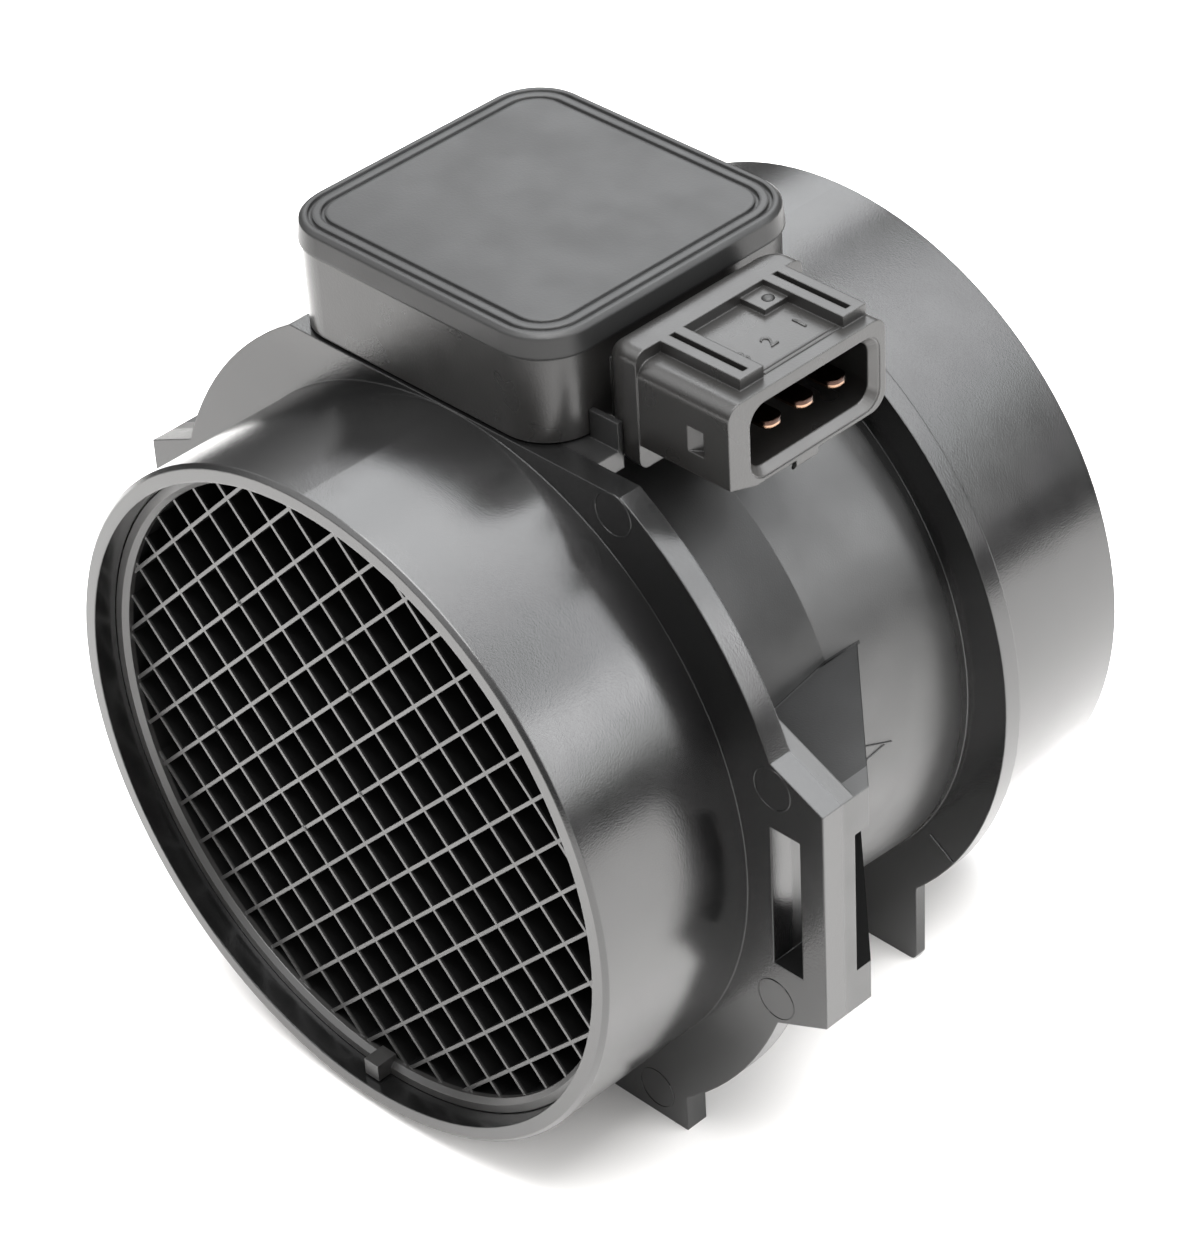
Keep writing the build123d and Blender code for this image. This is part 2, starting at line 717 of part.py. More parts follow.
# The finger that hangs in the throat, with its stem, head and air channel.
with BuildPart() as sensor_finger:
    with BuildSketch(Plane.XY.offset(-finger_below_axis)):
        with Locations((0, finger_y)):
            RectangleRounded(finger_width, finger_length, finger_nose)
    extrude(amount=finger_below_axis + head_bottom)
    with BuildSketch(Plane.XY.offset(stem_bottom)):
        with Locations((0, finger_y)):
            RectangleRounded(stem_width, stem_length, stem_corner)
    extrude(amount=head_bottom - stem_bottom)
    with BuildSketch(Plane.XY.offset(head_bottom)):
        with Locations((0, finger_y)):
            RectangleRounded(head_width, head_length, head_corner)
    extrude(amount=head_thickness)
    # The groove for the seal runs round the stem.
    with BuildSketch(Plane.XY.offset(seal_bottom)):
        with Locations((0, finger_y)):
            RectangleRounded(stem_width, stem_length, stem_corner)
            RectangleRounded(
                stem_width - 2 * seal_groove_depth,
                stem_length - 2 * seal_groove_depth,
                stem_corner - seal_groove_depth,
                mode=Mode.SUBTRACT,
            )
    extrude(amount=seal_height, mode=Mode.SUBTRACT)
    # The air channel runs from the leading edge to the trailing one.
    with BuildSketch(Plane.XY.offset(channel_bottom)):
        with Locations((channel_floor_x, finger_y)):
            Rectangle(channel_depth, finger_length, align=(Align.MIN, Align.CENTER))
    extrude(amount=channel_height, mode=Mode.SUBTRACT)
    # The recess that its cover fills.
    with BuildSketch(Plane.XY.offset(channel_bottom - cover_land)):
        with Locations((cover_inner_x, finger_y)):
            Rectangle(cover_thickness, finger_length, align=(Align.MIN, Align.CENTER))
    extrude(amount=channel_height + 2 * cover_land, mode=Mode.SUBTRACT)
    # The bed of the element, and above it the slot for its leads.
    with BuildSketch(Plane.XY.offset(channel_top)):
        with Locations((element_x, finger_y)):
            Rectangle(element_thickness, element_width, align=(Align.MIN, Align.CENTER))
    extrude(amount=element_bed, mode=Mode.SUBTRACT)
    with BuildSketch(Plane.XY.offset(element_top)):
        with Locations((slot_x, finger_y)):
            Rectangle(slot_width, slot_length)
    extrude(amount=floor_top - element_top, mode=Mode.SUBTRACT)
    # The notch in the leading edge, and the holes that hold the air probe in it.
    finger_front = finger_y - finger_length / 2
    with BuildSketch(Plane.XY.offset(probe_z - probe_pocket_height / 2)):
        with Locations((0, finger_front)):
            Rectangle(finger_width, probe_pocket_depth, align=(Align.CENTER, Align.MIN))
    extrude(amount=probe_pocket_height, mode=Mode.SUBTRACT)
    probe_y = finger_front + probe_pocket_depth / 2
    with BuildSketch(Plane.XY.offset(probe_z - probe_length / 2)):
        with Locations((0, probe_y)):
            Circle(probe_radius)
    extrude(amount=probe_length, mode=Mode.SUBTRACT)
sensor_finger.part.label = "sensor_finger"
export_step(sensor_finger.part, "parts/sensor_finger.step")

# The cover is the slice of the finger's own section outside the channel.
with BuildPart() as finger_cover:
    with BuildSketch(Plane.XY.offset(channel_bottom - cover_land)):
        with Locations((0, finger_y)):
            RectangleRounded(finger_width, finger_length, finger_nose)
        with Locations((cover_inner_x, finger_y)):
            Rectangle(
                cover_thickness,
                finger_length,
                align=(Align.MIN, Align.CENTER),
                mode=Mode.INTERSECT,
            )
    extrude(amount=channel_height + 2 * cover_land)
finger_cover.part.label = "finger_cover"
export_step(finger_cover.part, "parts/finger_cover.step")

# The seal round the stem closes the gap to the duct's opening.
with BuildPart() as finger_seal:
    with BuildSketch(Plane.XY.offset(seal_bottom)):
        with Locations((0, finger_y)):
            RectangleRounded(sleeve_width, sleeve_length, sleeve_corner)
            RectangleRounded(
                stem_width - 2 * seal_groove_depth,
                stem_length - 2 * seal_groove_depth,
                stem_corner - seal_groove_depth,
                mode=Mode.SUBTRACT,
            )
    extrude(amount=seal_height)
finger_seal.part.label = "finger_seal"
export_step(finger_seal.part, "parts/finger_seal.step")

# The hot film element hangs from its bed into the middle of the channel.
with BuildPart() as hot_film_element:
    with BuildSketch(Plane.XY.offset(channel_top - element_reach)):
        with Locations((element_x, finger_y)):
            Rectangle(element_thickness, element_width, align=(Align.MIN, Align.CENTER))
    extrude(amount=element_reach + element_bed)
hot_film_element.part.label = "hot_film_element"
export_step(hot_film_element.part, "parts/hot_film_element.step")

# The element's leads run up the finger as one ribbon and fold onto the board.
with BuildPart() as signal_ribbon:
    with BuildSketch(across(finger_y - ribbon_width / 2)):
        with BuildLine():
            Polyline(
                (element_x, element_top),
                (element_x, board_top),
                (element_x - ribbon_fold, board_top),
                (element_x - ribbon_fold, board_top + ribbon_thickness),
                (element_x + ribbon_thickness, board_top + ribbon_thickness),
                (element_x + ribbon_thickness, element_top),
                close=True,
            )
        make_face()
    extrude(amount=-ribbon_width)
signal_ribbon.part.label = "signal_ribbon"
export_step(signal_ribbon.part, "parts/signal_ribbon.step")

# The probe that reads the temperature of the air that comes in.
with BuildPart() as air_temperature_probe:
    with BuildSketch(Plane.XY.offset(probe_z - probe_length / 2)):
        with Locations((0, probe_y)):
            Circle(probe_radius)
    extrude(amount=probe_length)
air_temperature_probe.part.label = "air_temperature_probe"
export_step(air_temperature_probe.part, "parts/air_temperature_probe.step")

# The metal plate under the board also holds the finger's head down.
with BuildPart() as base_plate:
    with BuildSketch(Plane.XY.offset(floor_top)):
        with Locations((tray_x, module_centre_y)):
            Rectangle(tray_width, tray_length)
        with Locations((slot_x, finger_y)):
            Rectangle(slot_width, slot_length, mode=Mode.SUBTRACT)
    extrude(amount=tray_thickness)
base_plate.part.label = "base_plate"
export_step(base_plate.part, "parts/base_plate.step")

# The circuit board, with the same slot for the ribbon.
with BuildPart() as circuit_board:
    with BuildSketch(Plane.XY.offset(tray_top)):
        with Locations((tray_x, module_centre_y)):
            Rectangle(board_width, board_length)
        with Locations((slot_x, finger_y)):
            Rectangle(slot_width, slot_length, mode=Mode.SUBTRACT)
    extrude(amount=board_thickness)
circuit_board.part.label = "circuit_board"
export_step(circuit_board.part, "parts/circuit_board.step")

# The parts on the board: one chip, and rows of capacitors and resistors.
with BuildPart() as signal_chip:
    with BuildSketch(Plane.XY.offset(board_top)):
        with Locations((chip_x, module_centre_y)):
            Rectangle(chip_size, chip_size)
    extrude(amount=chip_height)
signal_chip.part.label = "signal_chip"
export_step(signal_chip.part, "parts/signal_chip.step")

with BuildPart() as capacitors:
    with BuildSketch(Plane.XY.offset(board_top)):
        with Locations((capacitor_x, module_centre_y)):
            with GridLocations(0, part_spacing, 1, 4):
                Rectangle(capacitor_width, capacitor_length)
    extrude(amount=capacitor_height)
capacitors.part.label = "capacitors"
export_step(capacitors.part, "parts/capacitors.step")

with BuildPart() as resistors:
    with BuildSketch(Plane.XY.offset(board_top)):
        with Locations((resistor_x, module_centre_y)):
            with GridLocations(0, part_spacing, 1, 4):
                Rectangle(resistor_width, resistor_length)
    extrude(amount=resistor_height)
resistors.part.label = "resistors"
export_step(resistors.part, "parts/resistors.step")

# The three contacts, from the ledge in the box to the connector's mouth.
for contact_index in range(contact_count):
    contact_y = connector_y + (contact_index - 1) * contact_spacing
    with BuildPart() as contact:
        with BuildSketch(Plane.XY.offset(contact_bottom)) as blade:
            with Locations((contact_back_x, contact_y)):
                Rectangle(
                    contact_tip_x - contact_back_x,
                    contact_width,
                    align=(Align.MIN, Align.CENTER),
                )
            fillet(blade.vertices().group_by(Axis.X)[-1], radius=contact_tip)
        extrude(amount=contact_thickness)
    contact_name = f"contact_{contact_index + 1}"
    contact.part.label = contact_name
    export_step(contact.part, f"parts/{contact_name}.step")

# The strips that join each contact's tail to the board.
with BuildPart() as contact_bridges:
    with BuildSketch(across(connector_y)):
        with BuildLine():
            Polyline(
                (contact_back_x + bridge_land, contact_top),
                (contact_back_x - bridge_knee, contact_top),
                (board_right - bridge_knee, board_top),
                (board_right - bridge_knee - bridge_foot, board_top),
            )
            offset(amount=bridge_thickness, side=Side.RIGHT, kind=Kind.INTERSECTION)
        make_face()
    extrude(amount=bridge_width / 2, both=True)
    with Locations((0, -contact_spacing, 0), (0, contact_spacing, 0)):
        add(contact_bridges.part)
contact_bridges.part.label = "contact_bridges"
export_step(contact_bridges.part, "parts/contact_bridges.step")
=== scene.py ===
# %% [markdown]
# A mass airflow sensor in black plastic
#
# The sensor sits in an engine's intake pipe and measures the air that passes. Its solids come from
# CAD and keep their places. This lesson gives them their finishes, adds the small marks that moulding
# leaves, and lights them as a product photo does: soft panels, a white table and a close camera.
#
# The finishes and the lights are matched to one photo. Where a value was only tuned until the
# picture looked right, the text says so: it is then no fact about the real sensor.

from math import cos, pi, radians, sin

import bmesh
import bpy
from mathutils import Matrix, Vector


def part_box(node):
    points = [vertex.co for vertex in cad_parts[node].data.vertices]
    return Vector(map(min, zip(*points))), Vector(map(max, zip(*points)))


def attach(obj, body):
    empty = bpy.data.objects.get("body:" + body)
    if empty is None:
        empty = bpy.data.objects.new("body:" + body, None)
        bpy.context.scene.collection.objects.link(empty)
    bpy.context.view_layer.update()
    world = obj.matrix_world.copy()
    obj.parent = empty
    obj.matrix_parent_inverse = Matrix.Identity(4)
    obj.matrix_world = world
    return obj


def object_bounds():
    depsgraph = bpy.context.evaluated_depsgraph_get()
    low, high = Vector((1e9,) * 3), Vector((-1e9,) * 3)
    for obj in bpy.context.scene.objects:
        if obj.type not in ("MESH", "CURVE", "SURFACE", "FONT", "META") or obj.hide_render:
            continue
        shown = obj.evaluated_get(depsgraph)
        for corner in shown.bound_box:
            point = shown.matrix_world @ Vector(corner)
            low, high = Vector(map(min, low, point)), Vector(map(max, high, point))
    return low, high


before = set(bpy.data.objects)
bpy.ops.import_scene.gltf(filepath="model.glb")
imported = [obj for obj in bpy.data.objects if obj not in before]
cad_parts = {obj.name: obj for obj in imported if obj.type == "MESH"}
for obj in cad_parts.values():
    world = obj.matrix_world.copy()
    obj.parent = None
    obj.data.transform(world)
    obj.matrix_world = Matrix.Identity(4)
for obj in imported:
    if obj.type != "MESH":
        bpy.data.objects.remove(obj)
size_at_start = [list(corner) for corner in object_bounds()]
print("solids:", len(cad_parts))

# %% [markdown]
# One unit is a metre here, and the sensor's sizes are millimetres. Sizes on the sensor are written
# times mm, so that they read as they would on a drawing. The room's sizes stay in metres.

# %% A millimetre
mm = 0.001
length = (size_at_start[1][1] - size_at_start[0][1]) / mm
print("the duct is", round(length, 1), "mm long")

# %% [markdown]
# How plastic looks
#
# Black plastic has almost no colour of its own: what the eye sees is the room, mirrored and blurred.
# A material could be painted, but then it would look wrong from the next side. So each finish is one
# Principled shader with a dark base, and small nodes change its colour, roughness and normal from
# place to place. These helpers make such nodes with few words.


# %% Node helpers
def add_node(tree, kind, **inputs):
    """A shader node with its inputs set by name; a socket given as a value is linked."""
    node = tree.nodes.new(kind)
    for name, value in inputs.items():
        socket = node.inputs[name.replace("_", " ")]
        if isinstance(value, bpy.types.NodeSocket):
            tree.links.new(value, socket)
        else:
            socket.default_value = value
    return node


def noise(tree, place, size, detail=2.0):
    """Noise whose blobs are about size metres across."""
    node = add_node(tree, "ShaderNodeTexNoise", Vector=place, Scale=1 / size, Detail=detail)
    return node.outputs["Fac"]


def remap(tree, value, low, high, start, stop):
    """Turns the span of a value from start to stop into the span from low to high, smoothly."""
    node = tree.nodes.new("ShaderNodeMapRange")
    node.interpolation_type = "SMOOTHSTEP"
    tree.links.new(value, node.inputs["Value"])
    node.inputs["From Min"].default_value = start
    node.inputs["From Max"].default_value = stop
    node.inputs["To Min"].default_value = low
    node.inputs["To Max"].default_value = high
    return node.outputs["Result"]


def multiply(tree, first, second):
    """The product of two sockets."""
    node = tree.nodes.new("ShaderNodeMath")
    node.operation = "MULTIPLY"
    tree.links.new(first, node.inputs[0])
    tree.links.new(second, node.inputs[1])
    return node.outputs["Value"]


def grey(value, warmth=0.0):
    """A grey colour; warmth lifts red and lowers blue a little."""
    return (value * (1 + warmth), value, value * (1 - warmth), 1.0)


print("a warm grey:", [round(part, 3) for part in grey(0.5, 0.04)])

# %% [markdown]
# Moulded plastic is seldom quite even: it can show a fine grain, slow waves, and edges that aren't
# quite sharp. Grain and waves are too low to be worth vertices, so two Bump nodes make them, and a
# Bevel node rounds the edges. Broad noise makes the colour and the gloss a little uneven, because a
# perfectly even surface looks false. All the amounts are tuned.

# %% A moulded surface
tint_size = 18 * mm
gloss_size = 7 * mm
wave_size = 11 * mm
grain_depth = 0.02 * mm
noise_span = (0.2, 0.8)
gloss_change = 0.15


def moulded(
    name,
    shade,
    roughness,
    warmth=0.0,
    grain=0.3,
    grain_size=0.3 * mm,
    wave=0.0,
    mottle=0.1,
    edge=0.25 * mm,
    metallic=0.0,
    specular=0.8,
):
    """A moulded or plated surface; wave is the height of its slow unevenness in metres."""
    material = bpy.data.materials.new(name)
    material.use_nodes = True
    tree = material.node_tree
    surface = tree.nodes["Principled BSDF"]
    surface.inputs["Metallic"].default_value = metallic
    surface.inputs["Specular IOR Level"].default_value = specular
    place = tree.nodes.new("ShaderNodeTexCoord").outputs["Object"]

    colour = shade if isinstance(shade, tuple) else grey(shade, warmth)
    tint = tree.nodes.new("ShaderNodeMix")
    tint.data_type = "RGBA"
    blobs = noise(tree, place, tint_size)
    tree.links.new(remap(tree, blobs, 0, 1, *noise_span), tint.inputs["Factor"])
    tint.inputs[6].default_value = tuple(part * (1 - mottle) for part in colour[:3]) + (1.0,)
    tint.inputs[7].default_value = tuple(part * (1 + mottle) for part in colour[:3]) + (1.0,)
    tree.links.new(tint.outputs[2], surface.inputs["Base Color"])

    patches = noise(tree, place, gloss_size)
    least, most = roughness * (1 - gloss_change), roughness * (1 + gloss_change)
    tree.links.new(remap(tree, patches, least, most, *noise_span), surface.inputs["Roughness"])

    bevel = add_node(tree, "ShaderNodeBevel", Radius=edge)
    bevel.samples = 4
    uneven = add_node(
        tree,
        "ShaderNodeBump",
        Strength=1.0,
        Distance=wave,
        Height=noise(tree, place, wave_size),
        Normal=bevel.outputs["Normal"],
    )
    grained = add_node(
        tree,
        "ShaderNodeBump",
        Strength=grain,
        Distance=grain_depth,
        Height=noise(tree, place, grain_size, detail=3),
        Normal=uneven.outputs["Normal"],
    )
    tree.links.new(grained.outputs["Normal"], surface.inputs["Normal"])
    return material


print("grain depth:", round(grain_depth / mm, 3), "mm")

# %% [markdown]
# The duct
#
# The duct is one large moulding: a tube at each end, and a body between the flange and the lip. In
# the photo the tubes mirror the room with crisp borders, and the body shows mostly soft light. One
# material with soft boxes in it can change from place to place, where two materials would need the
# mesh to be cut.


# %% A finish that changes inside a box
def inside_box(tree, low, high, steps):
    """One inside a box and nought outside; steps are its soft edges along x, y and z."""
    place = tree.nodes.new("ShaderNodeTexCoord").outputs["Object"]
    parts = add_node(tree, "ShaderNodeSeparateXYZ", Vector=place).outputs
    inside = None
    for axis, start, stop, step in zip("XYZ", low, high, steps):
        above = remap(tree, parts[axis], 0, 1, start, start + step)
        below = remap(tree, parts[axis], 1, 0, stop - step, stop)
        both = multiply(tree, above, below)
        inside = both if inside is None else multiply(tree, inside, both)
    return inside


def scale_inside(material, socket_name, factor, low, high, steps):
    """Multiplies one input of a material inside a box."""
    tree = material.node_tree
    socket = tree.nodes["Principled BSDF"].inputs[socket_name]
    inside = inside_box(tree, low, high, steps)
    if socket.is_linked:
        share = remap(tree, inside, 1, factor, 0, 1)
        result = multiply(tree, socket.links[0].from_socket, share)
    else:
        level = socket.default_value
        result = remap(tree, inside, level, level * factor, 0, 1)
    tree.links.new(result, socket)


# %% The duct's plastic
duct_plastic = moulded(
    "duct plastic",
    shade=0.004,
    roughness=0.2,
    grain=0.65,
    grain_size=0.22 * mm,
    wave=0.03 * mm,
)
print("made:", duct_plastic.name)

# %% [markdown]
# Three places on the duct are set apart, and all three values are tuned. The flat top of the gusset
# behind the right ear and the flange's front face are darker in the photo than these lamps make them,
# so their shine is lowered. The body is made nearly twice as rough, until no crisp border shows on
# it. This corrects the picture: whether the real plastic differs there isn't known.

# %% Three places on the duct
beyond = 60 * mm
flange_front = 22.1 * mm
gusset_shine, front_shine = 0.4, 0.6
body_roughness = 1.9
shine = "Specular IOR Level"
gusset_low = (30 * mm, 27.15 * mm, 14.6 * mm)
gusset_high = (52 * mm, 48 * mm, 15.1 * mm)
gusset_steps = (0.05 * mm, 0.05 * mm, 0.05 * mm)
scale_inside(duct_plastic, shine, gusset_shine, gusset_low, gusset_high, gusset_steps)

front_low = (-beyond, flange_front - 0.2 * mm, -32 * mm)
front_high = (beyond, flange_front + 0.2 * mm, beyond)
front_steps = (1 * mm, 0.1 * mm, 30 * mm)
scale_inside(duct_plastic, shine, front_shine, front_low, front_high, front_steps)

body_low = (-beyond, 24.5 * mm, -beyond)
body_high = (beyond, 62 * mm, beyond)
body_steps = (1 * mm, 1.5 * mm, 1 * mm)
scale_inside(duct_plastic, "Roughness", body_roughness, body_low, body_high, body_steps)
print("rougher length:", round((body_high[1] - body_low[1]) / mm, 1), "mm")

# %% [markdown]
# Behind the grid's bars the photo shows nothing but black, and with these lamps the far wall would
# still be seen. So a second, nearly black surface takes over between two planes across the duct. It
# is painted shade standing in for the darkness: the real walls are probably the same plastic as
# outside. On the duct itself it only covers the faces that look towards the axis, which a dot
# product with the direction away from the axis tells apart.


# %% Painted shade inside
def add_painted_shade_inside(material, first_y, last_y, inward_only=False):
    """Paints shade: blackens the part of a material that lies in the air path."""
    tree = material.node_tree
    place = tree.nodes.new("ShaderNodeTexCoord").outputs["Object"]
    parts = add_node(tree, "ShaderNodeSeparateXYZ", Vector=place).outputs
    step = 0.3 * mm
    inside = multiply(
        tree,
        remap(tree, parts["Y"], 0, 1, first_y, first_y + step),
        remap(tree, parts["Y"], 1, 0, last_y - step, last_y),
    )
    if inward_only:
        outwards = add_node(tree, "ShaderNodeCombineXYZ", X=parts["X"], Z=parts["Z"])
        normal = tree.nodes.new("ShaderNodeNewGeometry").outputs["Normal"]
        facing = tree.nodes.new("ShaderNodeVectorMath")
        facing.operation = "DOT_PRODUCT"
        tree.links.new(outwards.outputs["Vector"], facing.inputs[0])
        tree.links.new(normal, facing.inputs[1])
        inward = remap(tree, facing.outputs["Value"], 1, 0, -0.2 * mm, 0)
        inside = multiply(tree, inside, inward)
    # This nearly black surface is painted shade.
    black = add_node(tree, "ShaderNodeBsdfPrincipled", Base_Color=grey(0.002), Roughness=0.7)
    black.inputs["Specular IOR Level"].default_value = 0.08
    mixed = tree.nodes.new("ShaderNodeMixShader")
    tree.links.new(inside, mixed.inputs["Fac"])
    tree.links.new(tree.nodes["Principled BSDF"].outputs["BSDF"], mixed.inputs[1])
    tree.links.new(black.outputs["BSDF"], mixed.inputs[2])
    tree.links.new(mixed.outputs["Shader"], tree.nodes["Material Output"].inputs["Surface"])


dark_from, dark_to = 4.6 * mm, 81 * mm
add_painted_shade_inside(duct_plastic, dark_from, dark_to, inward_only=True)
print("dark for", round((dark_to - dark_from) / mm, 1), "mm")

# %% [markdown]
# The other plastics
#
# The inlet grid looks lighter and duller than the duct, and its bars are thin, so their edges are
# rounded less. Only the front faces stay light: deeper in, the bars take the same painted shade as
# the duct. The outlet grid is out of sight, so its finish is copied from this one.

# %% Grids and finger
grid_dark_from, grid_dark_to = 4.3 * mm, 80 * mm
grid_plastic = moulded(
    "grid plastic", shade=0.014, roughness=0.36, warmth=0.03, edge=0.12 * mm
)
add_painted_shade_inside(grid_plastic, grid_dark_from, grid_dark_to)
finger_plastic = moulded(
    "finger plastic", shade=0.007, roughness=0.32, warmth=0.04, specular=0.6
)
# The finger lies in the air path and takes the same painted shade there.
add_painted_shade_inside(finger_plastic, dark_from, dark_to)
print("made:", grid_plastic.name, "and", finger_plastic.name)

# %% [markdown]
# The module's box and its connector are one moulding with a coarse grain. The lid is satin, and a
# wide bevel radius softens the two grooves round its edge, which look soft in the photo. The slope in
# the connector's mouth came out too dark under these lamps, so it has painted light: its base is
# lighter and its shine stronger than the housing's, a tuned value again.

# %% Housing, lid and mouth
housing_plastic = moulded(
    "housing plastic",
    shade=0.012,
    roughness=0.3,
    warmth=0.04,
    grain=0.8,
    grain_size=0.28 * mm,
    specular=0.55,
)
lid_plastic = moulded(
    "lid plastic",
    shade=0.01,
    roughness=0.34,
    grain=0.5,
    mottle=0.03,
    edge=0.45 * mm,
    specular=0.34,
)
# The slope's lighter base and stronger shine are painted light.
mouth_plastic = moulded(
    "mouth plastic", shade=0.03, roughness=0.36, warmth=0.04, specular=0.8
)
seal_rubber = moulded("seal rubber", shade=0.008, roughness=0.6)
# A disc of this painted shade stands in for the darkness of a small hole.
painted_hole_shade = moulded("painted hole shade", shade=0.001, roughness=0.7, specular=0.05)
print("made:", housing_plastic.name, "and", lid_plastic.name)

# %% [markdown]
# The contacts
#
# The blades look like plated metal, with a bright lower edge and a nearly black upper side. On the
# real ones that is most likely a mirrored room, and here it is a painted dark reflection above a
# height. A second mesh could make that edge, but a height in the material does it for all three at
# once.


# %% A second colour above a height
def darken_above(material, height, colour, step=0.15 * mm):
    """Gives a material another colour above a height."""
    tree = material.node_tree
    place = tree.nodes.new("ShaderNodeTexCoord").outputs["Object"]
    parts = add_node(tree, "ShaderNodeSeparateXYZ", Vector=place).outputs
    socket = tree.nodes["Principled BSDF"].inputs["Base Color"]
    mix = tree.nodes.new("ShaderNodeMix")
    mix.data_type = "RGBA"
    tree.links.new(remap(tree, parts["Z"], 0, 1, height, height + step), mix.inputs["Factor"])
    tree.links.new(socket.links[0].from_socket, mix.inputs[6])
    mix.inputs[7].default_value = colour
    tree.links.new(mix.outputs[2], socket)


gold_colour = (0.3, 0.19, 0.13, 1.0)
# Above the height the blades take this colour as a painted dark reflection.
painted_dark_reflection = (0.05, 0.03, 0.024, 1.0)
bright_edge = 0.25 * mm
contact_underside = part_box("contact_1")[0][2]
contact_gold = moulded(
    "contact gold", shade=gold_colour, roughness=0.24, metallic=1.0, edge=0.35 * mm
)
darken_above(contact_gold, contact_underside + bright_edge, painted_dark_reflection)
print("blades start at", round(contact_underside / mm, 2), "mm")

# %% [markdown]
# Hidden pieces
#
# Nobody sees the board and the element while the lid is on, but the model can be opened later. So
# they get plain finishes too, guessed from what such parts are usually made of: ceramic, copper,
# resin and bright metal.

# %% Finishes inside the box
copper_colour = (0.72, 0.36, 0.2, 1.0)
resin_colour = (0.12, 0.03, 0.015, 1.0)
capacitor_colour = (0.4, 0.26, 0.14, 1.0)
white_ceramic = moulded("ceramic", shade=0.7, roughness=0.4, warmth=0.02)
copper_leads = moulded("copper leads", shade=copper_colour, roughness=0.3, metallic=1.0)
probe_resin = moulded("probe resin", shade=resin_colour, roughness=0.2)
plate_metal = moulded("plate metal", shade=0.6, roughness=0.3, metallic=1.0)
chip_resin = moulded("chip resin", shade=0.02, roughness=0.5)
capacitor_body = moulded("capacitor body", shade=capacitor_colour, roughness=0.5)
bridge_metal = moulded("bridge metal", shade=0.65, roughness=0.3, metallic=1.0)
print("materials:", len(bpy.data.materials))

# %% [markdown]
# Dressing the solids
#
# Each solid takes one finish. A table of names beside finishes is easier to read and to mend than a
# line of code for every solid.

# %% Dress the solids
finishes = {
    "duct_body": duct_plastic,
    "inlet_grid": grid_plastic,
    "outlet_grid": grid_plastic,
    "module_housing": housing_plastic,
    "module_gasket": seal_rubber,
    "lid": lid_plastic,
    "lid_seal": seal_rubber,
    "sensor_finger": finger_plastic,
    "finger_cover": finger_plastic,
    "finger_seal": seal_rubber,
    "hot_film_element": white_ceramic,
    "signal_ribbon": copper_leads,
    "air_temperature_probe": probe_resin,
    "base_plate": plate_metal,
    "circuit_board": white_ceramic,
    "signal_chip": chip_resin,
    "capacitors": capacitor_body,
    "resistors": chip_resin,
    "contact_1": contact_gold,
    "contact_2": contact_gold,
    "contact_3": contact_gold,
    "contact_bridges": bridge_metal,
}
for node_name, material in finishes.items():
    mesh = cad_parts[node_name].data
    mesh.materials.clear()
    mesh.materials.append(material)
print("dressed:", len(finishes), "solids")

# %% [markdown]
# Marks of moulding
#
# The photo shows fine lines on the sensor: rings, short straight lines, and two sides of what looks
# like an arrow. They are read here as low ridges, although a photo can't tell a ridge from a groove.
# A bump could draw them, but a ridge with real height keeps its shape in the exported mesh. Each ridge
# is a strip with a four-cornered section that follows a path over a surface, and its foot is sunk a
# little so that no gap shows.


# %% Pieces and ridges
def add_piece(name, mesh, material):
    """A piece that rides on the body and takes the given finish."""
    mesh.materials.append(material)
    piece = bpy.data.objects.new(name, mesh)
    bpy.context.collection.objects.link(piece)
    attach(piece, "root")
    return piece


ridge_foot = 0.05 * mm
ridge_top_half = 0.3  # half of the top's width, as a share of the ridge's width


def ridge(name, path, width, height, material, closed=False):
    """A ridge along a path of (point, outward normal) pairs."""
    section = (
        (-0.5, -ridge_foot),
        (-ridge_top_half, height),
        (ridge_top_half, height),
        (0.5, -ridge_foot),
    )
    count = len(path)
    vertices = []
    faces = []
    for i, (point, normal) in enumerate(path):
        before = path[i - 1][0] if closed or i > 0 else point
        after = path[(i + 1) % count][0] if closed or i + 1 < count else point
        sideways = (after - before).cross(normal).normalized()
        vertices += [point + sideways * width * side + normal * rise for side, rise in section]
    for i in range(count if closed else count - 1):
        here, there = 4 * i, 4 * ((i + 1) % count)
        for k in range(4):
            m = (k + 1) % 4
            faces.append((here + k, here + m, there + m, there + k))
    if not closed:
        last = 4 * (count - 1)
        faces += [(3, 2, 1, 0), (last, last + 1, last + 2, last + 3)]
    mesh = bpy.data.meshes.new(name)
    mesh.from_pydata(vertices, [], faces)
    return add_piece(name, mesh, material)


# %% [markdown]
# Four thin rings show on the flange's front. They look like the marks of ejector pins, which push a
# piece out of its mould. A circle in a loop gives the path, because its size is then one value.

# %% Ejector rings
ring_radius = 2.65 * mm
ring_width, ring_height = 0.22 * mm, 0.06 * mm
ring_steps = 48
ring_places = [(47.2, 15.0), (46.9, -15.0), (25.0, 40.6), (27.2, -40.4)]
towards_inlet = Vector((0, -1, 0))
for i, (x, z) in enumerate(ring_places):
    path = []
    for step in range(ring_steps):
        turn = 2 * pi * step / ring_steps
        across, rise = ring_radius * cos(turn), ring_radius * sin(turn)
        path.append((Vector((x * mm + across, flange_front, z * mm + rise)), towards_inlet))
    name = f"ejector_ring_{i + 1}"
    ridge(name, path, ring_width, ring_height, duct_plastic, closed=True)
print("ejector rings:", len(ring_places))

# %% [markdown]
# The arrow lies on the round body, below the connector, and is taken to show the flow. Only its tip
# is in sight beside the ear, so only that is made. Its sides are dropped onto the duct along X with a
# ray, so that they follow the curve wherever the duct's radius changes.

# %% Flow arrow
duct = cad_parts["duct_body"]
beside_duct = 60 * mm


